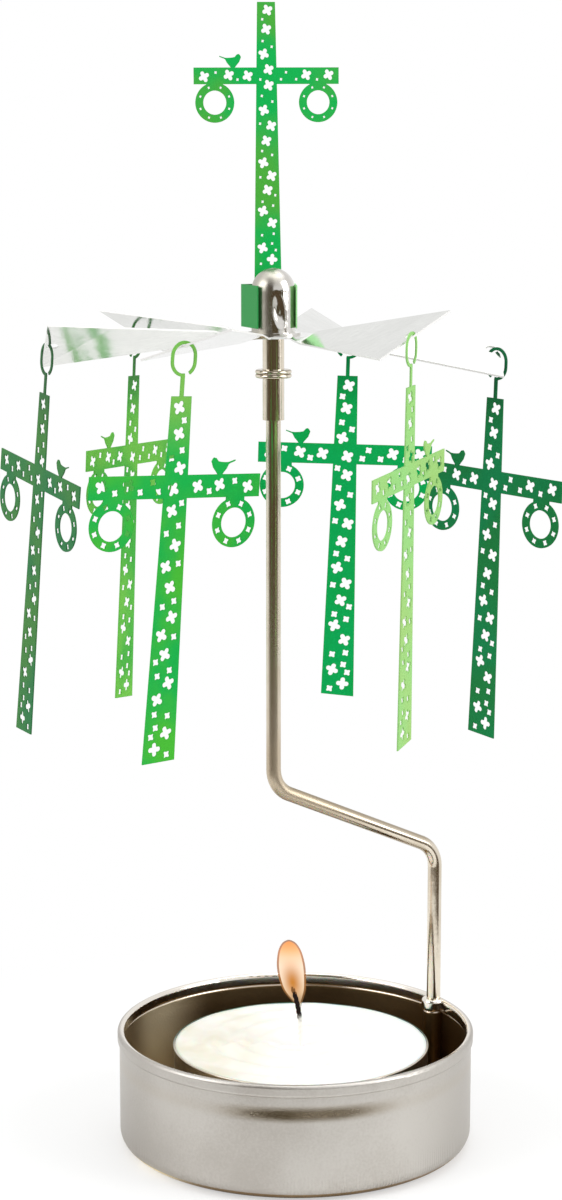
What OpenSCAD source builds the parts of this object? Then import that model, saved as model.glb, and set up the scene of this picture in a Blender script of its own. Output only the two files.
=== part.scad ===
// A candle carousel. A tealight burns in a metal cup and its warm air turns a six-bladed rotor that carries
// six hanging cross-shaped figures and one standing figure.
// Origin: centre of the cup's underside. +Z up, +Y away from the viewer, +X to the viewer's right.

/* [Cup] */
// Outer radius of the cup's wall
cup_r = 27; // [26:0.5:32]
// Height of the cup, rim included
cup_h = 17.8; // [16.5:0.1:24]
// Thickness of the cup's sheet
cup_wall = 0.5; // [0.3:0.05:0.8]
// Outer radius of the rounded edge under the wall
cup_edge_r = 2.3; // [1.2:0.1:4]
// Thickness of the rolled rim
rim_bead_d = 1.1; // [0.8:0.05:1.6]
// Height of the rolled rim
rim_bead_h = 2; // [1.7:0.1:3]

/* [Post] */
// Diameter of the post's wire
post_d = 2.2; // [1.8:0.1:2.6]
// Direction from the cup's centre to the post's foot
foot_angle = 32; // [20:1:45]
// Distance of the post's centre line inside the cup's outer wall, as a share of the wire's radius
foot_inset_share = 0.95; // [0.85:0.01:0.96]
// Height of the post's lower end above the table
foot_z = 3.5; // [2.5:0.5:6]
// How far the rotor's axis lies past the cup's centre
axis_offset = 3.9; // [0:0.1:6]
// Height of the lower bend, where the two centre lines would meet
low_bend_z = 42.3; // [38:0.5:46]
// Height of the upper bend, where the two centre lines would meet
high_bend_z = 55.7; // [50:0.5:58]
// Radius of both bends, to the wire's centre line
bend_r = 4.5; // [3:0.5:6]
// Height of the wire's upper end
post_top_z = 120.2; // [118.2:0.5:121.2]

/* [Ferrule and pivot] */
// Outer diameter of the sleeve on the wire's top
ferrule_d = 3.2; // [3:0.05:3.6]
// Height of the sleeve's lower end
ferrule_z = 111.4; // [104:0.1:114]
// Height of the sleeve's upper end
ferrule_top_z = 126.7; // [124.2:0.5:127.2]
// Outer diameter of the sleeve's collar
collar_d = 5.4; // [4.6:0.1:6]
// Height of the collar's middle
collar_z = 118.2; // [116:0.1:119]
// Thickness of each of the collar's two ridges
ridge_d = 0.64; // [0.4:0.02:0.7]
// Diameter of the needle
pin_d = 1.2; // [0.8:0.1:1.6]
// Length of the needle's point
pin_point = 2; // [1:0.1:3]

/* [Rotor] */
// Height of the rotor sheet's middle plane
rotor_z = 123.8; // [123:0.1:124.6]
// Thickness of the rotor's sheet
rotor_t = 0.3; // [0.2:0.05:0.4]
// Number of blades
blade_count = 6; // [4:1:6]
// Direction of the first blade
blade_angle = 8; // [0:1:30]
// Radius of the hub disc
hub_r = 6; // [5:0.1:7]
// Radius at which the necks start to twist
neck_r = 6.6; // [6.4:0.1:7.4]
// Width of each neck
neck_w = 3.6; // [3:0.1:4]
// Length of each twisted neck
neck_len = 2.2; // [1.6:0.1:3]
// Radius of the blades' outer edges at their middle
blade_r = 33.6; // [32:0.5:37]
// Length of a blade's outer edge
blade_chord = 14; // [10:0.5:18]
// Pitch of the blades
blade_pitch = 29; // [28:0.5:31]
// Radius of each hook hole
hook_hole_r = 0.9; // [0.85:0.05:1]
// Width of the sheet left between a hook hole and the blade's edge
hook_strip = 0.25; // [0.2:0.05:0.3]
// Radius of the hole round the sleeve in the hub
hub_hole_r = 2.3; // [2.1:0.05:2.6]
// Outer radius of the cap
dome_r = 3.2; // [3:0.05:3.6]
// Height of the cap above the rotor sheet
dome_h = 9.65; // [8.8:0.05:10]
// Thickness of the cap's wall
dome_wall = 0.3; // [0.2:0.05:0.4]
// Radius of the cap's foot flange
dome_flange_r = 4; // [3.8:0.1:4.5]

/* [Figure] */
// Thickness of a figure's sheet
figure_t = 0.2; // [0.15:0.05:0.4]
// Length of the upright
mast_len = 51.3; // [44:0.1:54]
// Width of the upright at its top
mast_top_w = 3.2; // [2.8:0.05:3.6]
// Width of the upright at its foot
mast_end_w = 5.2; // [4.6:0.1:5.8]
// How far one corner of the foot edge lies below the other
mast_end_slant = 0.4; // [0:0.1:1]
// Length of the cross arm
arm_len = 27.6; // [24:0.1:29]
// Width of the cross arm
arm_w = 3.2; // [2.8:0.1:3.6]
// Distance of the arm's middle below the upright's top
arm_drop = 12.4; // [10:0.1:14]
// Outer radius of the hoops
hoop_r = 3.5; // [3.3:0.05:3.7]
// Radius of the opening in a hoop
hoop_hole_r = 2.1; // [1.8:0.05:2.2]
// Distance of each hoop's centre from the figure's middle line
hoop_x = 9.9; // [9:0.1:10.2]
// Height of the neck between the arm and a hoop
hoop_gap = 0.1; // [0.05:0.05:0.4]
// Width of that neck
hoop_neck_w = 3; // [1.6:0.1:3.2]
// Side of the small square holes in a hoop
hoop_square_w = 0.8; // [0.4:0.05:0.85]
// Size of a four-petal hole, tip to tip
flower_d = 2; // [1.6:0.05:2.3]
// Width of one petal
petal_w = 0.74; // [0.5:0.02:0.8]
// Size of the small four-cornered holes
square_w = 0.92; // [0.6:0.05:1]
// Distance of the bird from the figure's middle line
bird_x = 7.1; // [6.5:0.1:8]
// Length of the bird, beak to tail
bird_len = 3.9; // [3.4:0.1:4.2]
// Height of the bird
bird_h = 2.45; // [2:0.05:2.7]

/* [Hook] */
// Inner radius of the hook's ring
hook_r = 1.6; // [1.6:0.05:1.7]
// Length by which the ring is drawn out downwards
hook_long = 0.8; // [0.4:0.1:1]
// Width of the ring's metal
hook_w = 0.45; // [0.35:0.05:0.5]
// Width of the stem under the ring
stem_w = 0.6; // [0.5:0.05:0.8]
// Distance of the ring's centre above the upright's top
hook_rise = 5.5; // [4.5:0.1:6]
// Direction of the middle of the ring's gap
hook_gap_angle = -69; // [-70:1:-50]
// Width of the ring's gap
hook_gap = 0.85; // [0.5:0.05:1]
// Play between the ring and the blade under it
hook_play = 0.12; // [0.1:0.01:0.15]

/* [Standing figure] */
// Gap between the rotor's sheet and the foot of the standing figure's clip
clip_lift = 1; // [0.5:0.05:1.2]
// Size of the standing figure against the hanging ones
top_figure_share = 0.82; // [0.78:0.01:0.9]
// Length of the standing figure's pierced upright, at the hanging figures' size
top_mast_len = 47; // [44:0.1:50]
// Length of its plain foot behind the cap, at the hanging figures' size
top_foot_len = 10; // [9:0.1:12]
// Size of its small holes against the hanging figures' holes
top_square_share = 0.5; // [0.4:0.05:1]
// Length of the standing figure's arm, at the hanging figures' size
top_arm_len = 26.3; // [24:0.1:28]
// Width of the standing figure's arm, at the hanging figures' size
top_arm_w = 2.9; // [2.7:0.05:3.4]
// Distance of its middle below the upright's top, at the hanging figures' size
top_arm_drop = 12.8; // [11:0.1:14]
// Distance of each of its hoops' centres from its middle line, at the hanging figures' size
top_hoop_x = 9.4; // [8.8:0.1:9.6]
// How far each of its hoops reaches into the arm, at the hanging figures' size
top_hoop_bite = 0.3; // [0:0.05:0.4]
// Distance of its bird from its middle line, at the hanging figures' size
top_bird_x = 6.1; // [5.6:0.1:7]
// Lean of the standing figure to the viewer's left
top_lean_angle = 0.4; // [0:0.1:3]
// Turn of the standing figure to the viewer's right
top_turn_angle = 13; // [0:1:16]
// Height of the clip round the cap
clip_h = 6.2; // [5.5:0.1:7]
// Inner half width of the clip's back
clip_half_w = 3.85; // [3.8:0.05:4.4]
// Length of each of the clip's wings
clip_wing = 5.8; // [4.5:0.1:6.5]

/* [Tealight] */
// Outer radius of the metal can
can_r = 19.5; // [17:0.1:20]
// Height of the can
can_h = 14.6; // [11:0.1:16]
// Thickness of the can
can_wall = 0.2; // [0.15:0.05:0.3]
// Thickness of the can's curled edge
can_curl_d = 0.35; // [0.3:0.05:0.9]
// How far the can stands off the cup's centre, to the right
can_offset = 0.85; // [0:0.05:2]
// Depth of the wax below the can's edge
wax_drop = 0.15; // [0.1:0.05:2]
// Diameter of the wick
wick_d = 0.8; // [0.7:0.1:1.4]
// Length of the wick above the wax
wick_len = 9.2; // [6:0.2:11]
// Radius of the wick's curve
wick_curve_r = 24; // [15:1:40]
// Radius of the tab under the wick
tab_r = 6; // [4:0.5:8]
// Thickness of the tab
tab_t = 0.3; // [0.2:0.05:0.4]
// Outer diameter of the tab's collar
tab_collar_d = 2; // [1.8:0.1:2.6]
// Height of the tab's collar
tab_collar_h = 4; // [3:0.5:6]

/* [Hidden] */
$fn = 48;

// One overrun for every cut that must pass right through.
cut = 2;
post_r = post_d / 2;
foot_r = cup_r - post_r * foot_inset_share;
rim_bead_r = rim_bead_d / 2;

// The wire climbs from the foot's side to the far side of the cup at this angle.
rise_angle = atan2(high_bend_z - low_bend_z, foot_r + axis_offset);
bend_turn = 90 - rise_angle;
bend_tangent = bend_r * tan(bend_turn / 2);
rise_len = norm([foot_r + axis_offset, high_bend_z - low_bend_z]) - 2 * bend_tangent;
// The bends swell a little, and the straight runs are seated in them by this length.
bend_swell = post_d / 250;
bend_seat = bend_r / 25;

axis_x = -axis_offset * cos(foot_angle);
axis_y = -axis_offset * sin(foot_angle);

dome_z = rotor_z + rotor_t / 2;
// The running gap between the needle's tip and the cap's ceiling.
tip_gap = 0.08;
tip_z = dome_z + dome_h - dome_wall - tip_gap;
pin_r = pin_d / 2;

blade_step = 360 / blade_count;
// The blades are bent by hand: how far each is turned from its even place, and bent down at its neck, and how
// far its pitch falls short.
blade_turn_angles = [-2.7, 1.8, 3.3, 2.6, 1.6, -2.5];
blade_dip_angles = [5.3, 3.4, 2.3, 2.4, -2, -4.2];
blade_ease_angles = [0, 0, 0, 0, 10.5, 3];
// The blades are rolled a little thinner than the hub.
blade_t = rotor_t * 0.96;
hook_hole_x = blade_r - hook_strip - hook_hole_r;
// Where on the hole's edge the hook hangs, measured from the blade's own direction.
hang_angle = -30;
// Turn of each figure towards the axis, away from the blade's outer edge.
figure_turn_angles = [38, 22, 22, 19, 55, 31];
// Tilt of each figure in its own plane.
figure_lean_angles = [-1.8, -1.8, -1.6, 6, 3, -3];
// Tilt of each figure out of that plane.
figure_swing_angles = [0.5, 2.4, -1.8, -2, 2.8, 1.8];

hook_out_r = hook_r + hook_w;
hook_gap_turn = 2 * asin(hook_gap / 2 / hook_out_r);
// Each figure's upright: the length that is pierced, the length of the plain foot under it, and the small
// holes' size.
hanging_mast = [mast_len, 0, square_w];
standing_mast = [top_mast_len, top_foot_len, square_w * top_square_share];
// Each figure's arm: its length, its width, its distance below the upright's top, how far its hoops and its
// bird are from the middle line, and the gap over its hoops.
hanging_arm = [arm_len, arm_w, arm_drop, hoop_x, bird_x, hoop_gap];
standing_arm = [top_arm_len, top_arm_w, top_arm_drop, top_hoop_x, top_bird_x, -top_hoop_bite];
hoop_mid_r = (hoop_r + hoop_hole_r) / 2;
// The turns of the four-petal holes: most of them, those on the left of the upright, and the lowest.
petal_turn = 28;
left_petal_turn = 67;
low_petal_turn = -5;
square_turn = -8;

// The holes of the upright, each as its share down the upright and its share of half the width there, seen
// from the side that shows the bird on the left.
mast_flowers = [
    [0.03, 0.15], [0.1, 0], [0.192, -0.28], [0.249, 0.2], [0.307, 0.2], [0.4, -0.27],
    [0.458, 0.38], [0.514, -0.05], [0.596, -0.32], [0.645, 0.35], [0.698, 0.02],
    [0.777, -0.35], [0.822, 0.35], [0.916, -0.38], [0.96, 0.3]
];
low_share = 0.95;
mast_squares = [
    [0.064, -0.42], [0.144, -0.38], [0.165, 0.55], [0.286, -0.6], [0.347, -0.45], [0.368, 0.52],
    [0.45, -0.6], [0.552, -0.42], [0.567, 0.42], [0.65, -0.56], [0.718, 0.62], [0.742, -0.38],
    [0.757, 0.44], [0.863, 0.45], [0.868, -0.42], [0.9, 0.32], [0.925, 0.58], [0.976, -0.5]
];
// The holes of the arm, each as its shares of half the arm's length and of half its width.
arm_flowers = [[0.86, -0.1], [0.52, 0.1], [0.26, 0], [-0.55, 0.12], [-0.86, 0.12]];
arm_squares = [[0.7, 0.4], [0.4, -0.45], [-0.2, -0.42], [-0.27, 0.42], [-0.41, -0.42], [-0.7, -0.45]];

// The bird's outline from its foot, as shares of its length and height: belly, tail, back, head and breast.
bird_shares = [
    [0.07, -0.05], [0.14, 0.1], [0.27, 0.34], [0.34, 0.56], [0.39, 0.62], [0.61, 0.75], [0.62, 0.82],
    [0.36, 0.69], [0.25, 0.68], [0.06, 0.7], [-0.09, 0.74], [-0.2, 0.93], [-0.28, 0.96],
    [-0.33, 0.88], [-0.38, 0.74], [-0.3, 0.4], [-0.16, 0.13], [-0.07, -0.05]
];

can_z = cup_wall;
wax_z = can_z + can_wall;
wax_top_z = can_z + can_h - wax_drop;
wax_r = can_r - can_wall;
wick_r = wick_d / 2;
wick_straight = wick_len / 8;
wick_turn = (wick_len - wick_straight) / wick_curve_r * 180 / PI;

// A round block seen from its axis, with its lower edge rounded.
module pan_section(r, h, edge_r) {
    square([r - edge_r, h]);
    translate([0, edge_r]) square([r, h - edge_r]);
    translate([r - edge_r, edge_r]) circle(edge_r);
}

// The rolled rim's cut, drawn round the sheet's middle line.
module rim_section() {
    for (z = [cup_h - rim_bead_r, cup_h - rim_bead_h + rim_bead_r]) translate([0, z]) circle(rim_bead_r);
    translate([-rim_bead_r, cup_h - rim_bead_h + rim_bead_r]) square([rim_bead_d, rim_bead_h - rim_bead_d]);
}

module cup_shell() {
    rotate_extrude($fn = 96) {
        difference() {
            pan_section(cup_r, cup_h - rim_bead_r, cup_edge_r);
            translate([0, cup_wall]) pan_section(cup_r - cup_wall, cup_h, cup_edge_r - cup_wall);
        }
        translate([cup_r - cup_wall / 2, 0]) rim_section();
    }
}

// The half-round channel that the wall and the rim make round the post.
module channel() {
    translate([foot_r, 0, foot_z - cup_wall])
        cylinder(r = post_r + cup_wall, h = cup_h - rim_bead_r - foot_z + cup_wall);
    translate([foot_r, 0, 0]) rotate_extrude() translate([post_r + cup_wall / 2, 0]) rim_section();
}

module cup() {
    color("#b4aea4") rotate([0, 0, foot_angle]) difference() {
        union() {
            cup_shell();
            intersection() {
                channel();
                cylinder(r = cup_r - cup_wall / 2, h = cup_h, $fn = 96);
            }
        }
        translate([foot_r, 0, foot_z]) cylinder(r = post_r, h = cup_h);
    }
}

// One bend of the wire about its own centre, from the direction +X.
module bend() {
    rotate([90, 0, 0]) rotate_extrude(angle = bend_turn) translate([bend_r, 0]) circle(post_r + bend_swell);
}

module post_wire() {
    low_z = low_bend_z - bend_tangent;
    high_z = high_bend_z + bend_tangent;
    color("#cfcac2") rotate([0, 0, foot_angle]) {
        translate([foot_r, 0, foot_z]) cylinder(r = post_r, h = low_z - foot_z + bend_seat);
        translate([foot_r - bend_r, 0, low_z]) bend();
        translate([foot_r, 0, low_bend_z]) rotate([0, -bend_turn, 0])
            translate([0, 0, bend_tangent - bend_seat]) cylinder(r = post_r, h = rise_len + 2 * bend_seat);
        translate([bend_r - axis_offset, 0, high_z]) rotate([0, 180, 0]) bend();
        translate([-axis_offset, 0, high_z - bend_seat])
            cylinder(r = post_r, h = post_top_z - high_z + bend_seat);
    }
}

module at_axis() {
    translate([axis_x, axis_y, 0]) children();
}

module ferrule() {
    ridge_r = ridge_d / 2;
    ridge_step = 0.9 * ridge_r;
    color("#cfcac2") at_axis() rotate_extrude() {
        difference() {
            translate([0, ferrule_z]) square([ferrule_d / 2, ferrule_top_z - ferrule_z]);
            translate([0, ferrule_z - cut]) square([post_r, post_top_z - ferrule_z + cut]);
            square([pin_r, ferrule_top_z + cut]);
        }
        translate([(ferrule_d + post_d) / 4, collar_z - ridge_step - ridge_r])
            square([(collar_d - ridge_d) / 2 - (ferrule_d + post_d) / 4, 2 * (ridge_step + ridge_r)]);
        for (side = [-1, 1])
            translate([(collar_d - ridge_d) / 2, collar_z + side * ridge_step]) circle(ridge_r);
    }
}

module pivot_pin() {
    color("#8c8c90") at_axis() {
        translate([0, 0, post_top_z]) cylinder(r = pin_r, h = tip_z - pin_point - post_top_z);
        translate([0, 0, tip_z - pin_point]) cylinder(r1 = pin_r, r2 = 0, h = pin_point);
    }
}

// Half the cap's outline: a straight wall with a ball end.
module bullet(r, h) {
    square([r, h - r]);
    intersection() {
        translate([0, h - r]) circle(r);
        translate([0, h - r]) square([r, r]);
    }
}

module dome_cap() {
    color("#d8d4cc") at_axis() translate([0, 0, dome_z]) rotate_extrude() difference() {
        union() {
            bullet(dome_r, dome_h);
            square([dome_flange_r, dome_wall]);
        }
        bullet(dome_r - dome_wall, dome_h - dome_wall);
    }
}

// One cross-section of a blade: half its width, turned about the blade's own line.
function blade_section(x, half_w, turn) = [
    for (corner = [[-1, -1], [1, -1], [1, 1], [-1, 1]])
        let (across = corner[0] * half_w, up = corner[1] * blade_t / 2)
            [x, across * cos(turn) - up * sin(turn), across * sin(turn) + up * cos(turn)]
];

// A point of a blade after the blade's bend at the start of its neck.
function dipped(point, dip) = [
    neck_r + (point[0] - neck_r) * cos(dip) + point[2] * sin(dip),
    point[1],
    point[2] * cos(dip) - (point[0] - neck_r) * sin(dip)
];

// A blade with its neck: flat at the hub, bent, twisted through the neck, then flat again and pitched.
module blade(dip, pitch) {
    steps = 8;
    free = [
        for (i = [0 : steps])
            each blade_section(neck_r + neck_len * i / steps, neck_w / 2, pitch * i / steps),
        each blade_section(blade_r, blade_chord / 2, pitch)
    ];
    points = [each blade_section(hub_r - neck_w / 4, neck_w / 2, 0), for (p = free) dipped(p, dip)];
    last = len(points) - 4;
    difference() {
        polyhedron(points, [
            [0, 1, 2, 3],
            for (row = [0 : 4 : last - 4], k = [0 : 3]) let (a = row + k, b = row + (k + 1) % 4)
                each [[a, a + 4, b + 4], [a, b + 4, b]],
            [last + 3, last + 2, last + 1, last]
        ]);
        translate([neck_r, 0, 0]) rotate([0, dip, 0]) rotate([pitch, 0, 0])
            translate([hook_hole_x - neck_r, 0, -cut / 2]) cylinder(r = hook_hole_r, h = cut);
    }
}

module rotor_plate() {
    color("#dcdcdc") at_axis() translate([0, 0, rotor_z]) rotate([0, 0, blade_angle]) difference() {
        union() {
            translate([0, 0, -rotor_t / 2]) cylinder(r = hub_r, h = rotor_t);
            for (i = [0 : blade_count - 1])
                rotate([0, 0, i * blade_step + blade_turn_angles[i]])
                    blade(blade_dip_angles[i], blade_pitch - blade_ease_angles[i]);
        }
        translate([0, 0, -cut / 2]) cylinder(r = hub_hole_r, h = cut);
    }
}

// A hole with four round-ended petals, turned as seen from the side that shows the bird on the left.
module flower(turn) {
    reach = flower_d / 2 - petal_w / 2;
    for (petal = [0, 90]) rotate(petal - turn) {
        square([2 * reach, petal_w], center = true);
        for (side = [-1, 1]) translate([side * reach, 0]) circle(petal_w / 2, $fn = 16);
    }
}

// A small square hole with slightly drawn-out round corners.
module small_square(size) {
    corner_r = size * 0.2;
    reach = size / 2 - corner_r;
    square(size * 0.86, center = true);
    for (x = [-reach, reach], y = [-reach, reach]) translate([x, y]) circle(corner_r, $fn = 16);
}

// Width of the upright at a share of its length from the top.
function mast_w(share) = mast_top_w + (mast_end_w - mast_top_w) * share;

// A place on the upright, from its shares down and across.
function mast_place(shares, mast) =
    [-shares[1] * mast_w(shares[0]) / 2, -hook_rise - shares[0] * mast[0]];

module mast_holes(mast) {
    for (shares = mast_flowers) translate(mast_place(shares, mast))
        flower(shares[0] > low_share ? low_petal_turn : shares[1] < -0.2 ? left_petal_turn : petal_turn);
    for (shares = mast_squares)
        translate(mast_place(shares, mast)) rotate(-square_turn) small_square(mast[2]);
}

// Moves its children to the middle of the arm.
module at_arm(arm) {
    translate([0, -hook_rise - arm[2]]) children();
}

module arm_holes(arm, size) {
    for (shares = arm_flowers) translate([shares[0] * arm[0], shares[1] * arm[1]] / 2) flower(petal_turn);
    for (shares = arm_squares)
        translate([shares[0] * arm[0], shares[1] * arm[1]] / 2) rotate(-square_turn) small_square(size);
}

// Runs its children once in each hoop's own place, measured from the arm's middle.
module at_hoops(arm) {
    for (side = [-1, 1]) translate([side * arm[3], -arm[1] / 2 - arm[5] - hoop_r]) children();
}

// The sheet's outer outline: upright, arm, hoops with their necks, and the bird.
module figure_outline(mast, arm) {
    end_y = -hook_rise - mast[0] - mast[1];
    polygon([
        [-mast_end_w / 2, end_y], [mast_end_w / 2, end_y + mast_end_slant],
        [mast_top_w / 2, -hook_rise], [-mast_top_w / 2, -hook_rise]
    ]);
    at_arm(arm) {
        square([arm[0], arm[1]], center = true);
        at_hoops(arm) {
            circle(hoop_r);
            translate([-hoop_neck_w / 2, 0]) square([hoop_neck_w, hoop_r + arm[5] + arm[1] / 8]);
        }
        translate([arm[4], arm[1] / 2]) polygon([for (p = bird_shares) [p[0] * bird_len, p[1] * bird_h]]);
    }
}

module figure_holes(mast, arm) {
    mast_holes(mast);
    at_arm(arm) {
        arm_holes(arm, mast[2]);
        at_hoops(arm) {
            circle(hoop_hole_r);
            for (i = [0 : 7])
                rotate((i + 0.5) * 45) translate([hoop_mid_r, 0])
                    small_square(hoop_square_w * mast[2] / square_w);
        }
    }
}

// A disc drawn out downwards, for the outside and the inside of the hook's ring.
module ring_disc(r) {
    hull() for (drop = [0, hook_long]) translate([0, -drop]) circle(r);
}

// A hanging figure, drawn round the point where its hook's ring has the centre of its upper half.
module hooked_figure() {
    difference() {
        union() {
            figure_outline(hanging_mast, hanging_arm);
            ring_disc(hook_out_r);
            translate([-stem_w / 2, -hook_rise - stem_w])
                square([stem_w, hook_rise + stem_w - hook_long - hook_r - hook_w / 2]);
        }
        figure_holes(hanging_mast, hanging_arm);
        ring_disc(hook_r);
        translate([0, -hook_long]) polygon([
            [0, 0],
            for (side = [-1, 1]) 2 * hook_out_r * [
                cos(hook_gap_angle + side * hook_gap_turn / 2),
                sin(hook_gap_angle + side * hook_gap_turn / 2)
            ]
        ]);
    }
}

// Puts a figure's plane under blade i: its ring's inner top lies on the strip outside the hook hole.
module hang(i) {
    rim_x = hook_hole_x + hook_hole_r * cos(hang_angle);
    rim_y = hook_hole_r * sin(hang_angle);
    pitch = blade_pitch - blade_ease_angles[i];
    rim = dipped([rim_x, rim_y * cos(pitch), rim_y * sin(pitch)], blade_dip_angles[i]);
    top = rotor_t / 2 / cos(pitch) + hook_play;
    at_axis() translate([0, 0, rotor_z]) rotate([0, 0, blade_angle + i * blade_step + blade_turn_angles[i]])
        translate(rim + [0, 0, top - hook_r])
            rotate([0, 0, 90 + figure_turn_angles[i]]) rotate([figure_swing_angles[i], 0, 0])
                rotate([0, figure_lean_angles[i], 0]) rotate([90, 0, 0]) children();
}

module hanging_figure(i) {
    color("#00a850") hang(i) linear_extrude(figure_t, center = true) hooked_figure();
}

// The clip seen from above: a straight back and two wings that close in on the cap.
module clip_outline() {
    wing_angle = 2 * atan(dome_r / clip_half_w);
    ahead = [-cos(wing_angle), -sin(wing_angle)];
    side_out = [sin(wing_angle), -cos(wing_angle)];
    corner = [clip_half_w, dome_r];
    corner_out = corner + [figure_t / tan(wing_angle / 2), figure_t];
    for (side = [0, 1]) mirror([side, 0]) polygon([
        [0, dome_r], corner, corner + clip_wing * ahead,
        corner + clip_wing * ahead + figure_t * side_out, corner_out, [0, dome_r + figure_t]
    ]);
}

module top_figure() {
    foot = dome_z + clip_lift;
    color("#28b446") at_axis() rotate([0, 0, top_turn_angle]) {
        difference() {
            translate([0, dome_r + figure_t / 2, foot]) rotate([90, 0, 0]) rotate(top_lean_angle)
                linear_extrude(figure_t, center = true) scale(top_figure_share)
                    translate([0, hook_rise + top_mast_len + top_foot_len]) mirror([1, 0]) difference() {
                        figure_outline(standing_mast, standing_arm);
                        figure_holes(standing_mast, standing_arm);
                    }
            translate([-mast_end_w, 0, foot - cut]) cube([2 * mast_end_w, 2 * dome_r, clip_h + cut]);
        }
        translate([0, 0, foot]) linear_extrude(clip_h) clip_outline();
    }
}

module tealight_can() {
    color("#d2d2d2") translate([can_offset, 0, can_z]) rotate_extrude($fn = 96) {
        difference() {
            square([can_r, can_h - can_curl_d / 2]);
            translate([0, can_wall]) square([wax_r, can_h]);
        }
        translate([can_r, can_h - can_curl_d / 2]) circle(can_curl_d / 2);
    }
}

module wick_tab() {
    color("#c0c0c0") translate([can_offset, 0, wax_z]) difference() {
        union() {
            cylinder(r = tab_r, h = tab_t);
            cylinder(r = tab_collar_d / 2, h = tab_collar_h);
        }
        translate([0, 0, tab_t]) cylinder(r = wick_r, h = tab_collar_h);
    }
}

module tealight_wax() {
    color("#f4f0e6") translate([can_offset, 0, wax_z]) difference() {
        cylinder(r = wax_r, h = wax_top_z - wax_z, $fn = 96);
        translate([0, 0, -cut]) cylinder(r = tab_r, h = tab_t + cut);
        translate([0, 0, -cut]) cylinder(r = tab_collar_d / 2, h = tab_collar_h + cut);
        cylinder(r = wick_r, h = can_h);
    }
}

module wick() {
    stand = wax_top_z + wick_straight;
    color("#1e1a18") translate([can_offset, 0, 0]) {
        translate([0, 0, wax_z + tab_t]) cylinder(r = wick_r, h = stand - wax_z - tab_t);
        translate([-wick_curve_r, 0, stand]) rotate([90, 0, 0])
            rotate_extrude(angle = wick_turn) translate([wick_curve_r, 0]) circle(wick_r);
    }
}

cup();
post_wire();
ferrule();
pivot_pin();
dome_cap();
rotor_plate();
top_figure();
hanging_figure(0);  // figure_1
hanging_figure(1);  // figure_2
hanging_figure(2);  // figure_3
hanging_figure(3);  // figure_4
hanging_figure(4);  // figure_5
hanging_figure(5);  // figure_6
tealight_can();
tealight_wax();
wick();
wick_tab();
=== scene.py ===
# A candle carousel: a tealight in a metal cup turns a bladed rotor with seven cross-shaped green figures.
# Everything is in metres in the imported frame: +Z up, +Y away from the viewer, +X to the viewer's right.
import math

import bmesh
import bpy
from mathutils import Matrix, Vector, noise


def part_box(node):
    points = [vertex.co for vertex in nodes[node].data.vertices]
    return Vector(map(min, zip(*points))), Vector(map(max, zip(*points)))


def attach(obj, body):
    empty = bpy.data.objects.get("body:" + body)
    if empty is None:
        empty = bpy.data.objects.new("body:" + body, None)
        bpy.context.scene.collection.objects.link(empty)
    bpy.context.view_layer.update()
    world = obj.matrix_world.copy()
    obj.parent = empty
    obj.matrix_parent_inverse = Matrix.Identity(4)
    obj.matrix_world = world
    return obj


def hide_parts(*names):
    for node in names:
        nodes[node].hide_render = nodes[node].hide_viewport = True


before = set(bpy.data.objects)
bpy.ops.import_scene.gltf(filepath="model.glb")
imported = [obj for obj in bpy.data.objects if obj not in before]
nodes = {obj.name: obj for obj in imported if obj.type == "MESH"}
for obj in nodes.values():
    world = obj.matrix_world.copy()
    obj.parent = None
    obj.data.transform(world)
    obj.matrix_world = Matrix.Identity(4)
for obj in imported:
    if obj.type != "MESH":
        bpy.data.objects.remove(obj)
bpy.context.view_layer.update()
MM = 0.001

# ---- Camera ----
# A long lens a little above the rotor, looking slightly down, at the place from which the cup's rim and foot
# show as they do in the photograph.
EYE = Vector((-2.19, -400.0, 152.5)) * MM
DOWN_DEG, LENS_MM, SENSOR_MM = 9.7, 81.35, 36.0
camera_data = bpy.data.cameras.new("camera")
camera_data.sensor_width = SENSOR_MM
camera_data.lens = LENS_MM
camera = bpy.data.objects.new("camera", camera_data)
camera.location = EYE
camera.rotation_euler = (math.radians(90 - DOWN_DEG), 0, 0)
bpy.context.scene.collection.objects.link(camera)
bpy.context.scene.camera = camera
bpy.context.scene.view_settings.view_transform = "Standard"


# ---- Table and studio ----
# A white sheet of card under the object, in a white light tent. The tent's front, behind the camera, is dark with
# a window on its right, and polished metal shows it as a brown band. Its ceiling is its brightest part.
class Feed:
    """An output of a shader node. Arithmetic on feeds and plain numbers adds the Math nodes."""

    def __init__(self, shader, socket):
        self.shader, self.socket = shader, socket

    def math(self, operation, *terms):
        return self.shader.add("Math", {"operation": operation}, dict(enumerate(terms)))

    def __add__(self, other):
        return self.math("ADD", self, other)

    def __sub__(self, other):
        return self.math("SUBTRACT", self, other)

    def __rsub__(self, other):
        return self.math("SUBTRACT", other, self)

    def __mul__(self, other):
        return self.math("MULTIPLY", self, other)

    def __truediv__(self, other):
        return self.math("DIVIDE", self, other)

    __radd__ = __add__
    __rmul__ = __mul__

    def step(self, start, end):
        """0 before start, 1 after end, and smooth between them."""
        return self.shader.add("MapRange", {"interpolation_type": "SMOOTHSTEP"},
                               {"Value": self, "From Min": start, "From Max": end})


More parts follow.
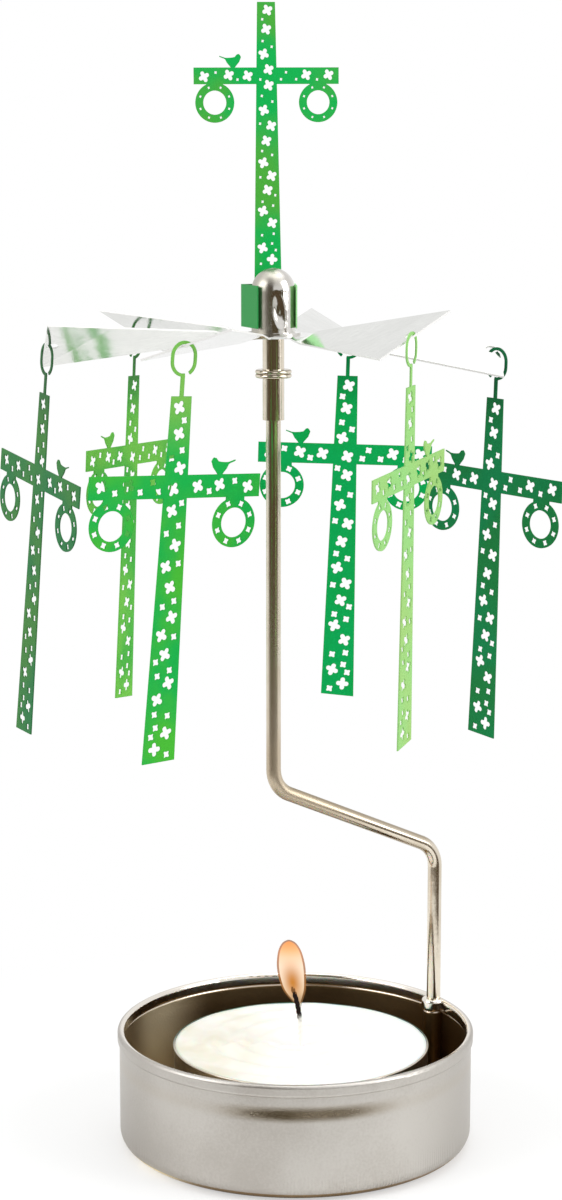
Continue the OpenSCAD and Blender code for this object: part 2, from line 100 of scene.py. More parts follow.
class Shader:
    """A material or world and its node tree."""

    def __init__(self, owner):
        self.owner = owner
        owner.use_nodes = True
        self.tree = owner.node_tree
        self.tree.nodes.clear()

    def add(self, kind, settings=None, inputs=None, output=0):
        """A node of this type, with its settings and the values or links of its sockets."""
        node = self.tree.nodes.new("ShaderNode" + kind)
        for key, value in (settings or {}).items():
            if key == "stops":
                ramp = node.color_ramp.elements
                while len(ramp) < len(value):
                    ramp.new(1.0)
                for stop, (place, colour) in zip(ramp, value):
                    stop.position, stop.color = place, (*colour, 1.0)
            else:
                setattr(node, key, value)
        for key, value in (inputs or {}).items():
            if isinstance(value, Feed):
                self.tree.links.new(value.socket, node.inputs[key])
            else:
                node.inputs[key].default_value = (*value, 1.0) if (
                    isinstance(value, tuple) and node.inputs[key].type == "RGBA") else value
        return Feed(self, node.outputs[output])

    def place(self):
        """Where a point is on its own piece, in metres."""
        return self.add("TexCoord", output="Object")

    def scaled(self, vector, sizes):
        """A vector with each of its parts times a number of its own."""
        return self.add("VectorMath", {"operation": "MULTIPLY"}, {0: vector, 1: sizes})

    def cloud(self, vector, scale, detail):
        """Soft patches between 0 and 1, this many to a metre."""
        return self.add("TexNoise", {}, {"Vector": vector, "Scale": scale, "Detail": detail})

    def blend(self, share, first, second):
        """A colour between two colours."""
        return self.add("Mix", {"data_type": "RGBA"}, {0: share, 6: first, 7: second}, 2)

    def bump(self, height, depth, under=None):
        """Relief of this depth where the height is 1, over any other relief."""
        inputs = {"Height": height, "Distance": depth, "Strength": 1.0}
        if under:
            inputs["Normal"] = under
        return self.add("Bump", {}, inputs)

    def edge(self, width):
        """1 where a face meets another at an angle, within this width of it."""
        rounded = self.add("Bevel", {"samples": 4}, {"Radius": width}, "Normal")
        flat = self.add("NewGeometry", output="Normal")
        same = self.add("VectorMath", {"operation": "DOT_PRODUCT"}, {0: rounded, 1: flat}, "Value")
        return (1 - same).step(0.01, 0.20)

    def surface(self, **inputs):
        """The finished Principled surface, on the output."""
        named = {key.replace("_", " "): value for key, value in inputs.items()}
        return self.finish(self.add("BsdfPrincipled", {}, named))

    def finish(self, surface):
        output = self.tree.nodes.new("ShaderNodeOutputWorld" if isinstance(self.owner, bpy.types.World)
                                     else "ShaderNodeOutputMaterial")
        self.tree.links.new(surface.socket, output.inputs["Surface"])
        return self.owner


def material(name):
    return Shader(bpy.data.materials.new(name))


def link(name, mesh):
    piece = bpy.data.objects.new(name, mesh)
    bpy.context.scene.collection.objects.link(piece)
    return piece


CARD_R, CARD_SEGMENTS, CARD_DROP = 110 * MM, 128, 0.2 * MM
SHADOW_R, CLEAR_R, SHADOW_SHARE = 30 * MM, 100 * MM, 0.5
WHITE, CARD_TONE = (1.0, 1.0, 1.0), (0.93, 0.93, 0.925)
card = bmesh.new()
bmesh.ops.create_circle(card, cap_ends=True, segments=CARD_SEGMENTS, radius=CARD_R)
floor_mesh = bpy.data.meshes.new("table_card")
card.to_mesh(floor_mesh)
card.free()
floor = link("table_card", floor_mesh)
floor.location.z = -CARD_DROP

paper = material("table_card")
path = paper.add("LightPath", output="Is Camera Ray")
card_face = paper.add("BsdfDiffuse", {}, {"Color": CARD_TONE})
card_glow = paper.add("Emission", {}, {"Color": WHITE, "Strength": 1.0})
away = paper.add("VectorMath", {"operation": "LENGTH"}, {0: paper.place()}, "Value")
clear = (away.step(SHADOW_R, CLEAR_R) * SHADOW_SHARE + (1 - SHADOW_SHARE)) * path
floor_mesh.materials.append(paper.finish(paper.add("MixShader", {}, {0: clear, 1: card_face, 2: card_glow})))

# Each pair is where a part of the tent starts and where it is full, along one axis of a ray's unit direction.
CEILING_FADE, FRONT_FADE, WINDOW_FADE, SILL_FADE = (0.68, 0.82), (0.10, 0.42), (-0.08, 0.06), (0.03, 0.10)
TENT_LEVEL, CEILING_TONE = 0.72, (1.45, 1.45, 1.45)
FRONT_TONES = (
    (0.0, (0.13, 0.10, 0.065)), (0.40, (0.105, 0.072, 0.040)), (0.50, (0.086, 0.068, 0.032)),
    (0.70, (0.12, 0.10, 0.08)), (0.84, (0.20, 0.18, 0.16)), (0.93, (0.34, 0.33, 0.32)), (1.0, (0.8, 0.8, 0.8)))
tent = Shader(bpy.data.worlds.new("light_tent"))
bpy.context.scene.world = tent.owner
camera_ray = tent.add("LightPath", output="Is Camera Ray")
glossy_ray = tent.add("LightPath", output="Is Glossy Ray")
direction = tent.add("TexCoord", output="Generated")
side = tent.add("SeparateXYZ", {}, {0: direction}, "X")
front = 0 - tent.add("SeparateXYZ", {}, {0: direction}, "Y")
height = tent.add("SeparateXYZ", {}, {0: direction}, "Z")
front_tone = tent.add("ValToRGB", {"stops": FRONT_TONES}, {0: height * 0.5 + 0.5})
window = side.step(*WINDOW_FADE) * height.step(*SILL_FADE)
ceiling = tent.blend(height.step(*CEILING_FADE), WHITE, CEILING_TONE)
shown = tent.blend(front.step(*FRONT_FADE) * (1 - window), ceiling, front_tone)
lit = tent.blend(glossy_ray, (TENT_LEVEL,) * 3, shown)
seen = tent.blend(camera_ray, lit, WHITE)
tent.finish(tent.add("Background", {}, {"Color": seen}))

LAMP_AIM = Vector((0, 0, 80 * MM))


def softbox(name, watts, size, place):
    """A soft lamp of this size at this place, in metres, aimed at the feet of the figures."""
    lamp_data = bpy.data.lights.new(name, "AREA")
    lamp_data.shape = "RECTANGLE"
    lamp_data.size, lamp_data.size_y = size
    lamp_data.energy = watts
    lamp = bpy.data.objects.new(name, lamp_data)
    lamp.location = place
    lamp.rotation_euler = (LAMP_AIM - Vector(place)).to_track_quat("-Z", "Y").to_euler()
    bpy.context.scene.collection.objects.link(lamp)


softbox("left_box", 3.0, (0.5, 0.6), (-0.62, -0.30, 0.42))
softbox("right_box", 2.6, (0.4, 0.6), (0.62, -0.22, 0.36))
softbox("top_box", 1.1, (0.5, 0.5), (0.05, 0.05, 0.75))

# ---- Cup ----
# Drawn sheet with a bright nickel plating, satin outside from the drawing and polished on the inside of its
# rolled rim, with fine ribs low on its wall and a shallow dent under the rim at the front. Its outside has painted
# shade towards its left and right sides and a painted dark reflection on the dent's flanks. Its inside is painted
# dark brown as shade and a reflection of the tent's dark front, with painted light low on its left.
CUP_R, CUP_H, CUP_WALL, RIM_H = 27.0 * MM, 17.8 * MM, 0.5 * MM, 2.0 * MM
# Each pair is where a soft step in the finish starts and ends, as it is for the pieces further on.
RIM_FOOT = (CUP_H - RIM_H - 0.2 * MM, CUP_H - RIM_H + 0.2 * MM)
OUTER_FACE = (CUP_R - 0.35 * MM, CUP_R + 0.05 * MM)
INNER_FACE = (CUP_R - 0.9 * CUP_WALL, CUP_R - 0.6 * CUP_WALL)
LIP, LIP_DEPTH, GRAIN_DEPTH = (15.5 * MM, 16.3 * MM), 0.12 * MM, 0.024 * MM
RIBS, RIBS_TOP, RIB_DEPTH = 330, (1.2 * MM, 5.5 * MM), 0.03 * MM
DENT, DENT_DEPTH, DENT_ANGLE, DENT_ENDS = (11.9 * MM, 14.7 * MM), 0.36 * MM, math.radians(86.5), (0.10, 0.62)
FLANK_LOW, FLANK_HIGH = (11.9 * MM, 13.2 * MM), (13.4 * MM, 15.0 * MM)
PALE_LEFT, PALE_RIGHT, PALE_TOP = (-26.6 * MM, -22.5 * MM), (-22 * MM, -13 * MM), (9 * MM, 17 * MM)
SATIN_DARK, SATIN_PALE, SATIN_SIDE_SHADE = (0.465, 0.435, 0.40), (0.565, 0.54, 0.505), (0.39, 0.365, 0.335)
DENT_REFLECTION_TONE, RIM_TONE = (0.33, 0.245, 0.13), (0.78, 0.735, 0.67)
INSIDE_SHADE_DEEP, INSIDE_SHADE_LIGHT, INSIDE_LIT_LEFT = (0.27, 0.175, 0.080), (0.34, 0.235, 0.12), (0.94, 0.84, 0.60)
nickel = material("nickel_sheet")
spot = nickel.place()
x = nickel.add("SeparateXYZ", {}, {0: spot}, "X")
y = nickel.add("SeparateXYZ", {}, {0: spot}, "Y")
z = nickel.add("SeparateXYZ", {}, {0: spot}, "Z")
radius = nickel.add("Math", {"operation": "SQRT"}, {0: x * x + y * y})
outward = radius.step(*OUTER_FACE)
below_rim = 1 - z.step(*RIM_FOOT)
polished = (1 - below_rim) * (1 - outward)
inside = (1 - radius.step(*INNER_FACE)) * below_rim
patches = nickel.cloud(spot, 60.0, 3.0)
grain = nickel.cloud(spot, 2600.0, 2.0)
around = nickel.add("Math", {"operation": "ARCTAN2"}, {0: y, 1: x})
ribs = nickel.add("Math", {"operation": "SINE"}, {0: around * RIBS})
foot = (1 - z.step(*RIBS_TOP)) * nickel.cloud(spot, 90.0, 1.0).step(0.35, 0.6)
off_front = nickel.add("Math", {"operation": "ABSOLUTE"}, {0: around + DENT_ANGLE})
near_front = 1 - off_front.step(*DENT_ENDS) * 0.85
dent = z.step(*DENT) * near_front * (1 - inside)
flank = z.step(*FLANK_LOW) * (1 - z.step(*FLANK_HIGH)) * near_front * (1 - inside)
outer_tone = nickel.blend((patches + grain * 0.35).step(0.45, 0.85), SATIN_DARK, SATIN_PALE)
# Painted shade: the outside is darker towards its left and right sides.
side_shade = nickel.add("Math", {"operation": "ABSOLUTE"}, {0: x}).step(CUP_R - 14 * MM, CUP_R)
outer_tone = nickel.blend(side_shade * 0.6, outer_tone, SATIN_SIDE_SHADE)
# Painted reflection: the dent's flanks at the front are painted dark brown, as the dent mirrors the tent's dark
# front.
outer_tone = nickel.blend(flank * 0.7, outer_tone, DENT_REFLECTION_TONE)
# Painted shade and painted reflection: the inside is dark brown, and the mask below paints it paler low on its left
# as painted light.
inner_tone = nickel.blend(patches.step(0.35, 0.65), INSIDE_SHADE_DEEP, INSIDE_SHADE_LIGHT)
lit_left_inside = inside * (x.step(*PALE_LEFT) * 0.7 + 0.3) * (1 - x.step(*PALE_RIGHT)) * (1 - z.step(*PALE_TOP) * 0.4)
inner_tone = nickel.blend(lit_left_inside, inner_tone, INSIDE_LIT_LEFT)
lip = z.step(*LIP) * (1 - outward)
tone = nickel.blend(polished, nickel.blend(inside, outer_tone, inner_tone), RIM_TONE)
rough = 0.34 - polished * 0.26 - inside * 0.07 + lit_left_inside * 0.26 - flank * 0.17 + patches * 0.06 + grain * 0.05
grained = nickel.bump(grain * (1 - polished), GRAIN_DEPTH)
relief = nickel.bump(dent, -DENT_DEPTH, nickel.bump(lip, -LIP_DEPTH, nickel.bump(ribs * foot, RIB_DEPTH, grained)))
nickel.surface(Base_Color=tone, Metallic=1.0, Roughness=rough, Normal=relief)
nodes["cup"].material_slots[0].material = nickel.owner

# ---- Post, sleeve and cap ----
# Bent nickel-plated wire and a turned sleeve with a double-ridged collar, polished bright with faint rubbing
# marks and browned where the wire runs over the flame. Where their faces point up or down, in the collar's grooves
# and along the bent wire, they are painted dark brown as painted shade and reflection. The drawn cap is duller on
# its left half and on top and painted darker there as painted shade, and its front has a small dent.
BROWNED_LOW, BROWNED_HIGH = (44 * MM, 53 * MM), (60 * MM, 70 * MM)
WORN_LOW, WORN_HIGH = (46 * MM, 56 * MM), (66 * MM, 104 * MM)
PLATE_PALE, PLATE_WARM = (0.74, 0.67, 0.56), (0.66, 0.58, 0.46)
FLAME_BROWN, SLOPE_SHADE_BROWN = (0.50, 0.41, 0.29), (0.29, 0.225, 0.145)
plate = material("polished_nickel")
spot = plate.place()
smudge = plate.cloud(spot, 220.0, 3.0)
rubbing = plate.cloud(plate.scaled(spot, (5200.0, 5200.0, 160.0)), 1.0, 2.0)
z = plate.add("SeparateXYZ", {}, {0: spot}, "Z")
slope = plate.add("SeparateXYZ", {}, {0: plate.add("NewGeometry", output="Normal")}, "Z")
# Painted shade and painted reflection: faces that point up or down, in the collar's grooves and along the bent wire,
# are painted dark brown.
up_down_shade = plate.add("Math", {"operation": "ABSOLUTE"}, {0: slope}).step(0.35, 0.9)
over_flame = z.step(*BROWNED_LOW) * (1 - z.step(*BROWNED_HIGH))
warm = plate.blend(smudge.step(0.35, 0.75), PLATE_PALE, PLATE_WARM)
warm = plate.blend(over_flame * 0.75, warm, FLAME_BROWN)
warm = plate.blend(up_down_shade * 0.9, warm, SLOPE_SHADE_BROWN)
worn = z.step(*WORN_LOW) * (1 - z.step(*WORN_HIGH))
plate.surface(Base_Color=warm, Metallic=1.0,
              Roughness=0.075 + smudge * 0.10 + rubbing * 0.04 + over_flame * 0.10 + worn * 0.17,
              Normal=plate.bump(smudge, 0.04 * MM, plate.bump(rubbing, 0.006 * MM)))
for name in ("post_wire", "ferrule"):
    nodes[name].material_slots[0].material = plate.owner

CAP_LEFT, CAP_TOP, CAP_TOP_LEFT = (-5.0 * MM, -2.7 * MM), (130.4 * MM, 132.0 * MM), (-3.2 * MM, -1.4 * MM)
CAP_BRIGHT, CAP_SMUDGED, CAP_DULL_SHADE = (0.72, 0.70, 0.67), (0.60, 0.575, 0.54), (0.46, 0.44, 0.385)
CAP_DENT_Z, CAP_DENT_LEAN, CAP_DENT_OFFSET = 127.6 * MM, 0.12, 12.8 * MM
CAP_DENT_R, CAP_DENT_DEPTH, CAP_DENT_SHAPE = (0.2 * MM, 1.1 * MM), 0.30 * MM, (1.0, 1.0, 0.36)
drawn = material("drawn_nickel")
spot = drawn.place()
smudge = drawn.cloud(spot, 260.0, 3.0)
x = drawn.add("SeparateXYZ", {}, {0: spot}, "X")
z = drawn.add("SeparateXYZ", {}, {0: spot}, "Z")
# The left half and the top are rougher, and also painted darker as painted shade.
dull_and_shaded = drawn.add("Math", {"operation": "MAXIMUM"}, {
    0: 1 - x.step(*CAP_LEFT), 1: z.step(*CAP_TOP) * (1 - x.step(*CAP_TOP_LEFT))})
tone = drawn.blend(smudge.step(0.35, 0.75), CAP_BRIGHT, CAP_SMUDGED)
tone = drawn.blend(dull_and_shaded, tone, CAP_DULL_SHADE)
off_dent = drawn.add("CombineXYZ", {}, {
    0: x + z * CAP_DENT_LEAN - CAP_DENT_OFFSET, 1: 0.0, 2: z - CAP_DENT_Z})
from_dent = drawn.add("VectorMath", {"operation": "LENGTH"}, {0: drawn.scaled(off_dent, CAP_DENT_SHAPE)}, "Value")
small_dent = 1 - from_dent.step(*CAP_DENT_R)
drawn.surface(Base_Color=tone, Metallic=1.0, Roughness=0.06 + smudge * 0.08 + dull_and_shaded * 0.26,
              Normal=drawn.bump(small_dent, -CAP_DENT_DEPTH, drawn.bump(smudge, 0.09 * MM)))
nodes["dome_cap"].material_slots[0].material = drawn.owner

STEEL_TONE = (0.50, 0.50, 0.51)
steel = material("needle_steel")
turned = steel.cloud(steel.scaled(steel.place(), (900.0, 900.0, 9000.0)), 1.0, 1.0)
steel.surface(Base_Color=STEEL_TONE, Metallic=1.0, Roughness=0.22 + turned * 0.12,
              Normal=steel.bump(turned, 0.004 * MM))
nodes["pivot_pin"].material_slots[0].material = steel.owner

# ---- Rotor ----
# One stamped disc of thin bright sheet, its six blades bent and twisted by hand. Fine rolling grain runs
# across it, the cut edges are dull and pale, and the outer corner of the left blade has a crease.
SHEET_BRIGHT, SHEET_WAVED, SHEET_ROLLED = (0.77, 0.775, 0.75), (0.71, 0.715, 0.69), (0.66, 0.665, 0.645)
CUT_TONE, CUT_SLOPE = (0.80, 0.79, 0.775), (0.45, 0.60)
# The crease runs square to a direction and starts this far out along it. Its span in Y keeps it off the blade
# in front.
CREASE_X, CREASE_Y, CREASE_R, CREASE_RISE, CREASE_SPAN = 0.62, 0.785, 25 * MM, 0.06, (-20 * MM, -17 * MM)
sheet = material("bright_sheet")
spot = sheet.place()
rolling = sheet.cloud(sheet.scaled(spot, (900.0, 5200.0, 900.0)), 1.0, 3.0)
waves = sheet.cloud(spot, 150.0, 2.0)
bright = sheet.blend(waves.step(0.3, 0.7), SHEET_BRIGHT, SHEET_WAVED)
slope = sheet.add("SeparateXYZ", {}, {0: sheet.add("NewGeometry", output="True Normal")}, "Z")
cut = 1 - sheet.add("Math", {"operation": "ABSOLUTE"}, {0: slope}).step(*CUT_SLOPE)
bright = sheet.blend(rolling.step(0.40, 0.65) * 0.6, bright, SHEET_ROLLED)
x = sheet.add("SeparateXYZ", {}, {0: spot}, "X")
y = sheet.add("SeparateXYZ", {}, {0: spot}, "Y")
past_crease = sheet.add("Math", {"operation": "MAXIMUM"}, {0: 0 - x * CREASE_X - y * CREASE_Y - CREASE_R, 1: 0.0})
crease = past_crease * y.step(*CREASE_SPAN) * CREASE_RISE / MM
sheet.surface(Base_Color=sheet.blend(cut, bright, CUT_TONE), Metallic=1 - cut * 0.85,
              Roughness=0.085 + rolling * 0.07 + cut * 0.45,
              Normal=sheet.bump(crease, 1.0 * MM, sheet.bump(waves, 0.06 * MM, sheet.bump(rolling, 0.008 * MM))))
nodes["rotor_plate"].material_slots[0].material = sheet.owner

# ---- Figures ----
# Thin etched sheet with a green lacquer that drifts from a bluish to a yellowish green and is darker along
# the cut edges. All figures share one lacquer, and its tones differ from one figure to the next as painted light
# and shade: two over its sheet and one at its hook or clip. The standing figure's right clip wing is painted
# lighter as painted light.
CUT_WIDTH, HOOK_END, CLIP_END = 0.09 * MM, (108.0 * MM, 119.0 * MM), (131.8 * MM, 131.2 * MM)
CLIP_LEFT, CLIP_LIT_GREEN = (-5 * MM, -2 * MM), (0.40, 0.86, 0.36)
# Each figure's greens are lit or shaded copies of the one lacquer: painted light and painted shade.
FIGURE_GREENS = {
    "figure_1": ((0.001, 0.195, 0.060), (0.006, 0.175, 0.040), (0.003, 0.115, 0.038)),
    "figure_2": ((0.0, 0.385, 0.088), (0.001, 0.36, 0.066), (0.0, 0.22, 0.055)),
    "figure_3": ((0.050, 0.42, 0.048), (0.150, 0.52, 0.062), (0.045, 0.20, 0.045)),
    "figure_4": ((0.018, 0.165, 0.048), (0.050, 0.20, 0.040), (0.032, 0.12, 0.042)),
    "figure_5": ((0.006, 0.43, 0.068), (0.062, 0.48, 0.034), (0.19, 0.50, 0.085)),
    "figure_6": ((0.30, 0.64, 0.20), (0.34, 0.60, 0.17), (0.30, 0.62, 0.18)),
    "top_figure": ((0.004, 0.44, 0.080), (0.070, 0.41, 0.045), (0.032, 0.27, 0.068)),
}


def lacquer(name, green, drifted, end, end_heights):
    """One figure's coat: its green, the green it drifts to, and the one it has from these heights on."""
    coat = material("green_lacquer_" + name)
    spot = coat.place()
    depth = coat.cloud(spot, 75.0, 3.0)
    speck = coat.cloud(spot, 3800.0, 1.0)
    cut = coat.edge(CUT_WIDTH)
    x = coat.add("SeparateXYZ", {}, {0: spot}, "X")
    z = coat.add("SeparateXYZ", {}, {0: spot}, "Z")
    tone = coat.blend(depth.step(0.38, 0.62), green, drifted)
    # Painted light: the clip's right wing, which faces the cap in shade, is painted a light green.
    if name == "top_figure":
        end = coat.blend(x.step(*CLIP_LEFT), end, CLIP_LIT_GREEN)
    tone = coat.blend(z.step(*end_heights), tone, end)
    deep = tuple(0.5 * share for share in green)
    coat.surface(Base_Color=coat.blend(cut, tone, deep), Metallic=0.12,
                 Roughness=0.42 + depth * 0.1 + speck * 0.06 - cut * 0.1,
                 Specular_IOR_Level=0.12, Normal=coat.bump(speck, 0.006 * MM))
    return coat.owner


for name, (green, drifted, end) in FIGURE_GREENS.items():
    end_heights = CLIP_END if name == "top_figure" else HOOK_END
    nodes[name].material_slots[0].material = lacquer(name, green, drifted, end, end_heights)

# ---- Tealight ----
# A thin rolled metal can filled to the brim with white wax, which has set in soft ripples, and a braided cotton
# wick in a tab at its foot. The far half of the can's brim is painted dark green, a painted reflection of the green
# figures.
BRIM_FROM, BRIM_TO, FAR_HALF = 0.45 * MM, 0.25 * MM, (-6 * MM, 6 * MM)
CAN_BRIGHT, CAN_DULL, BRIM_REFLECTION_GREEN = (0.62, 0.57, 0.50), (0.50, 0.44, 0.36), (0.02, 0.085, 0.05)
can = material("can_sheet")
spot = can.place()
crumple = can.cloud(spot, 320.0, 3.0)
can_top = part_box("tealight_can")[1].z
brim = can.add("SeparateXYZ", {}, {0: spot}, "Z").step(can_top - BRIM_FROM, can_top - BRIM_TO)
# Painted reflection: the far half of the brim is painted dark green for the green figures it mirrors.
far_brim = brim * can.add("SeparateXYZ", {}, {0: spot}, "Y").step(*FAR_HALF)
sheen = can.blend(crumple.step(0.3, 0.7), CAN_BRIGHT, CAN_DULL)
can.surface(Base_Color=can.blend(far_brim, sheen, BRIM_REFLECTION_GREEN), Metallic=1.0,
            Roughness=0.22 + crumple * 0.16, Normal=can.bump(crumple, 0.05 * MM))
for name in ("tealight_can", "wick_tab"):
    nodes[name].material_slots[0].material = can.owner

wax_low, wax_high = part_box("tealight_wax")
wax_middle = Vector(((wax_low.x + wax_high.x) / 2, (wax_low.y + wax_high.y) / 2, 0))
WAX_R = (wax_high.x - wax_low.x) / 2
WAX_TOP = wax_high.z
RIPPLE, WELL, EDGE_LIFT, UNEVEN = 0.36 * MM, 0.5 * MM, 0.12 * MM, 0.1 * MM
WELL_R, RIPPLE_STEP, RIPPLE_TURN, UNEVEN_SPAN = 3.0 * MM, 4.3 * MM, 1.6 * MM, 4.0 * MM
WAX_SCATTER = 2 * MM
WAX_WHITE, WAX_CREAM, CREAM_LEFT = (0.93, 0.925, 0.90), (0.76, 0.715, 0.58), (-13 * MM, 1 * MM)


def wax_height(east, north):
    """The set wax's surface: a climb at the can's wall, a well round the wick and ripples on the left."""
    out = math.hypot(east, north)
    left = max(0.0, min(1.0, 0.5 - (east + 0.3 * north) / WAX_R))
    swirl = math.sin(2 * math.pi * (out + RIPPLE_TURN * math.atan2(north, east)) / RIPPLE_STEP)
    uneven = noise.noise(Vector((east, north, 0)) / UNEVEN_SPAN)
    return (EDGE_LIFT * (out / WAX_R) ** 12 - WELL * math.exp(-(out / WELL_R) ** 2)
            + RIPPLE * left * math.sin(math.pi * min(1.0, out / WAX_R)) * swirl + UNEVEN * uneven)


RINGS, SPOKES = 44, 144
pour = bmesh.new()
centre = pour.verts.new(wax_middle + Vector((0, 0, WAX_TOP + wax_height(0, 0))))
rows = []
for ring in range(1, RINGS + 1):
    out = WAX_R * ring / RINGS
    row = []
    for spoke in range(SPOKES):
        turn = 2 * math.pi * spoke / SPOKES
        east, north = out * math.cos(turn), out * math.sin(turn)
        row.append(pour.verts.new(wax_middle + Vector((east, north, WAX_TOP + wax_height(east, north)))))
    rows.append(row)
rows.append([pour.verts.new(Vector((v.co.x, v.co.y, wax_low.z))) for v in rows[-1]])
for k in range(SPOKES):
    after = (k + 1) % SPOKES
    pour.faces.new((centre, rows[0][k], rows[0][after]))
    for inner, outer in zip(rows, rows[1:]):
        pour.faces.new((inner[k], outer[k], outer[after], inner[after]))
pour.faces.new(list(reversed(rows[-1])))
for face in pour.faces:
    face.smooth = True
pour.normal_update()
wax_mesh = bpy.data.meshes.new("set_wax")
pour.to_mesh(wax_mesh)
pour.free()
set_wax = link("set_wax", wax_mesh)
wax = material("white_wax")
spot = wax.place()
swirl = wax.cloud(spot, 120.0, 2.0)
west = 1 - wax.add("SeparateXYZ", {}, {0: spot}, "X").step(*CREAM_LEFT)
cream = wax.blend((swirl.step(0.35, 0.65) * 0.6 + 0.4) * west, WAX_WHITE, WAX_CREAM)
wax.surface(Base_Color=cream, Roughness=0.38 + swirl * 0.1, Subsurface_Weight=0.3, Subsurface_Scale=WAX_SCATTER,
            Normal=wax.bump(wax.cloud(spot, 700.0, 2.0), 0.02 * MM))
wax_mesh.materials.append(wax.owner)
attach(set_wax, "tealight")
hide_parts("tealight_wax")

STRAND_SIDES = 10


def strand(mesh, path, radius):
    """A round strand along a path of points, closed at both ends. Its radius goes by the share of its length."""
    rings = []
    across = Vector((0, 1, 0))
    for i, point in enumerate(path):
        along = (path[min(i + 1, len(path) - 1)] - path[max(i - 1, 0)]).normalized()
        across = (across - along * across.dot(along)).normalized()
        up = along.cross(across)
        size = radius(i / (len(path) - 1))
        rings.append([mesh.verts.new(point + size * (across * math.cos(a) + up * math.sin(a)))
                      for a in (2 * math.pi * k / STRAND_SIDES for k in range(STRAND_SIDES))])
    for lower, upper in zip(rings, rings[1:]):
        for k in range(STRAND_SIDES):
            after = (k + 1) % STRAND_SIDES
            mesh.faces.new((lower[k], lower[after], upper[after], upper[k]))
    mesh.faces.new(list(reversed(rings[0])))
    mesh.faces.new(rings[-1])


WICK_LEN, WICK_STRAIGHT, WICK_BEND_R = 9.2 * MM, 1.15 * MM, 24.0 * MM
wick_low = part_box("wick")[0].z


def wick_point(run):
    """A point of the wick's middle line, by its distance above the wax."""
    bend = max(0.0, run - WICK_STRAIGHT) / WICK_BEND_R
    return wax_middle + Vector((-WICK_BEND_R * (1 - math.cos(bend)), 0,
                                WAX_TOP + min(run, WICK_STRAIGHT) + WICK_BEND_R * math.sin(bend)))


BRAID_PITCH, STRANDS, STEPS = 2.6 * MM, 3, 90
STRAND_R, BRAID_R = 0.22 * MM, 0.17 * MM
FRAY, FRAY_FROM, TAPER, TAPER_FROM, TAPER_SPAN = 0.5, 0.8, 0.35, 0.93, 0.07
CHAR_LEN, CHAR_FADE, CHAR_UNEVEN = 5.2 * MM, 1.4 * MM, 1.2 * MM
COTTON_TONE, CHAR_TONE = (0.93, 0.91, 0.85), (0.014, 0.008, 0.006)
braid = bmesh.new()
start = wick_low - WAX_TOP
for k in range(STRANDS):
    path = []
    for i in range(STEPS + 1):
        run = start + (WICK_LEN - start) * i / STEPS
        here = wick_point(run)
        along = (wick_point(run + 0.1 * MM) - here).normalized()
        side_way = Vector((0, 1, 0))
        turn = 2 * math.pi * (run / BRAID_PITCH + k / STRANDS)
        fray = 1 + FRAY * max(0.0, run / WICK_LEN - FRAY_FROM)
        path.append(here + BRAID_R * fray * (side_way * math.cos(turn) + along.cross(side_way) * math.sin(turn)))
    strand(braid, path, lambda share: STRAND_R * (1 - TAPER * max(0.0, share - TAPER_FROM) / TAPER_SPAN))
for face in braid.faces:
    face.smooth = True
wick_mesh = bpy.data.meshes.new("braided_wick")
braid.to_mesh(wick_mesh)
braid.free()
braided_wick = link("braided_wick", wick_mesh)
cotton = material("wick_cotton")
spot = cotton.place()
height = cotton.add("SeparateXYZ", {}, {0: spot}, "Z")
fibre = cotton.cloud(spot, 2500.0, 2.0)
char_start = WAX_TOP + WICK_LEN - CHAR_LEN
burnt = (height + fibre * CHAR_UNEVEN).step(char_start, char_start + CHAR_FADE)
cotton.surface(Base_Color=cotton.blend(burnt, COTTON_TONE, CHAR_TONE), Roughness=0.95,
               Specular_IOR_Level=0.15, Normal=cotton.bump(fibre, 0.08 * MM))
wick_mesh.materials.append(cotton.owner)
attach(braided_wick, "tealight")
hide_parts("wick")

# ---- Flame ----
# A small still flame round the wick's end: a thin brown skin, a pale body and an orange heart over the wick.
# It is light and not a solid, so the CAD model has none.
FLAME_FOOT = wax_middle + Vector((0, 0.5 * MM, WAX_TOP + 5.4 * MM))
FLAME_TIP = wax_middle + Vector((-1.85 * MM, 0.9 * MM, WAX_TOP + 16.2 * MM))
FLAME_BOW, FLAME_DEPTH, FLAME_SIDES = Vector((-0.52, 0.5, 0)) * MM, 0.8, 24
# Each row is a share of the flame's height and the half width there, in millimetres.
SKIN = ((0.0, 0.05), (0.02, 0.25), (0.098, 0.83), (0.17, 1.34), (0.25, 1.77), (0.32, 1.95), (0.40, 2.08),
        (0.47, 2.17), (0.55, 2.22), (0.63, 2.20), (0.70, 2.10), (0.78, 1.94), (0.85, 1.73), (0.925, 1.30),
        (0.97, 0.86), (1.0, 0.12))
BODY = tuple((0.025 + 0.95 * share, max(0.02, 0.855 * half)) for share, half in SKIN)


def flame_middle(share):
    """The flame's middle line: it leans left and bows to the left and back above the wick."""
    bow = math.sin(math.pi * share ** 0.6)
    return FLAME_FOOT.lerp(FLAME_TIP, share) + FLAME_BOW * bow


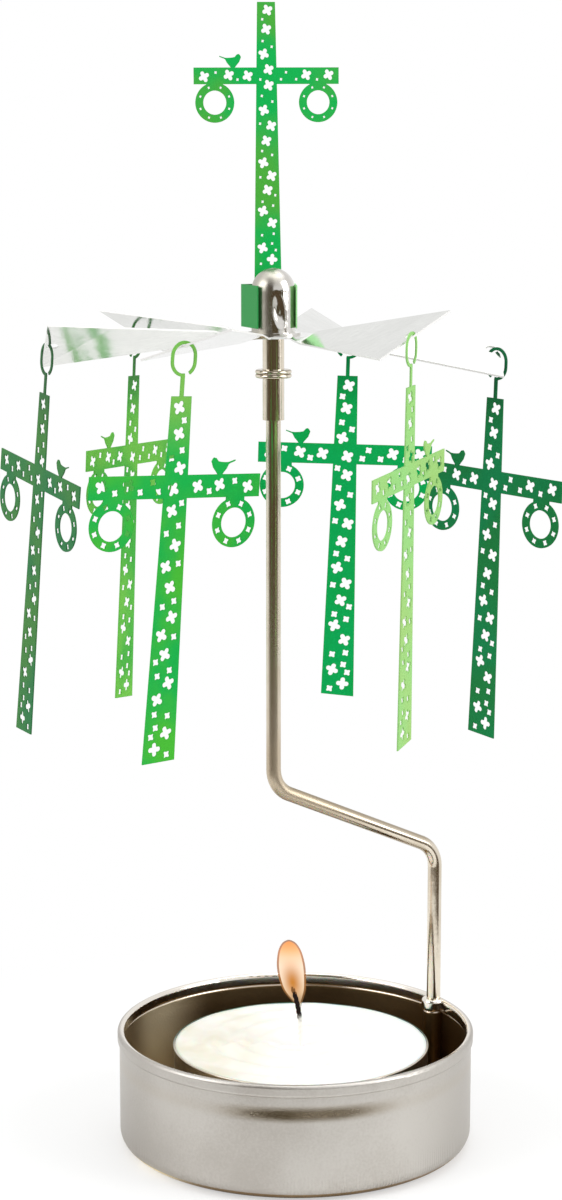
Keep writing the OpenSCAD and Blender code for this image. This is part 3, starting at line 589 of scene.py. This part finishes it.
def flame_part(name, profile, material_of):
    """A leaf-shaped shell round the flame's bent middle line, from its half widths in mm."""
    shell = bmesh.new()
    rings = []
    for share, half in profile:
        ring = []
        for k in range(FLAME_SIDES):
            turn = 2 * math.pi * k / FLAME_SIDES
            out = Vector((math.cos(turn), FLAME_DEPTH * math.sin(turn), 0))
            ring.append(shell.verts.new(flame_middle(share) + half * MM * out))
        rings.append(ring)
    for lower, upper in zip(rings, rings[1:]):
        for k in range(FLAME_SIDES):
            after = (k + 1) % FLAME_SIDES
            shell.faces.new((lower[k], lower[after], upper[after], upper[k]))
    shell.faces.new(list(reversed(rings[0])))
    shell.faces.new(rings[-1])
    for face in shell.faces:
        face.smooth = True
    mesh = bpy.data.meshes.new(name)
    shell.to_mesh(mesh)
    shell.free()
    part = link(name, mesh)
    smooth = part.modifiers.new("smooth", "SUBSURF")
    smooth.levels = smooth.render_levels = 2
    mesh.materials.append(material_of)
    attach(part, "tealight")
    return part


HEART_SHARE, HEART_HALF, HEART_RISE, HEART_LEAN = 0.40, 2.4 * MM, 4.4 * MM, 0.13
HEART_ORANGE = (0.46, 0.170, 0.015)
FOOT_FADE = (0.10, 0.40)
BROWN_TONES = (
    (0.0, (0.28, 0.16, 0.07)), (0.3, (0.42, 0.18, 0.055)), (0.6, (0.44, 0.17, 0.045)), (0.85, (0.60, 0.21, 0.045)),
    (1.0, (0.36, 0.16, 0.07)))
PALE_TONES = (
    (0.05, (0.36, 0.24, 0.12)), (0.22, (0.78, 0.66, 0.46)), (0.40, (1.0, 0.97, 0.80)), (0.62, (1.0, 0.90, 0.74)),
    (0.76, (1.0, 0.74, 0.54)), (0.87, (1.0, 0.52, 0.26)), (0.97, (1.0, 0.36, 0.11)))


def glow(name, colours, strength, thin, full, heart=None):
    """Light of these colours from foot to tip, thin at the foot and fuller above it, with or without a heart."""
    fire = material(name)
    east = fire.add("SeparateXYZ", {}, {0: fire.place()}, "X")
    rise = fire.add("SeparateXYZ", {}, {0: fire.place()}, "Z")
    share = (rise - FLAME_FOOT.z) / (FLAME_TIP.z - FLAME_FOOT.z)
    colour = fire.add("ValToRGB", {"stops": colours}, {0: share})
    if heart:
        middle = flame_middle(HEART_SHARE)
        across = (east - middle.x + (rise - middle.z) * HEART_LEAN) / HEART_HALF
        upward = (rise - middle.z) / HEART_RISE
        reach = fire.add("Math", {"operation": "SQRT"}, {0: across * across + upward * upward})
        colour = fire.blend(reach.step(0.0, 1.0), heart, colour)
    return fire.surface(Base_Color=(0.0, 0.0, 0.0), Roughness=1.0, Specular_IOR_Level=0.0, Emission_Color=colour,
                        Emission_Strength=strength, Alpha=share.step(*FOOT_FADE) * (full - thin) + thin)


flame_part("flame_skin", SKIN, glow("flame_brown", BROWN_TONES, strength=1.0, thin=0.34, full=0.62))
flame_part("flame_body", BODY, glow("flame_pale", PALE_TONES, strength=2.2, thin=0.32, full=0.92, heart=HEART_ORANGE))
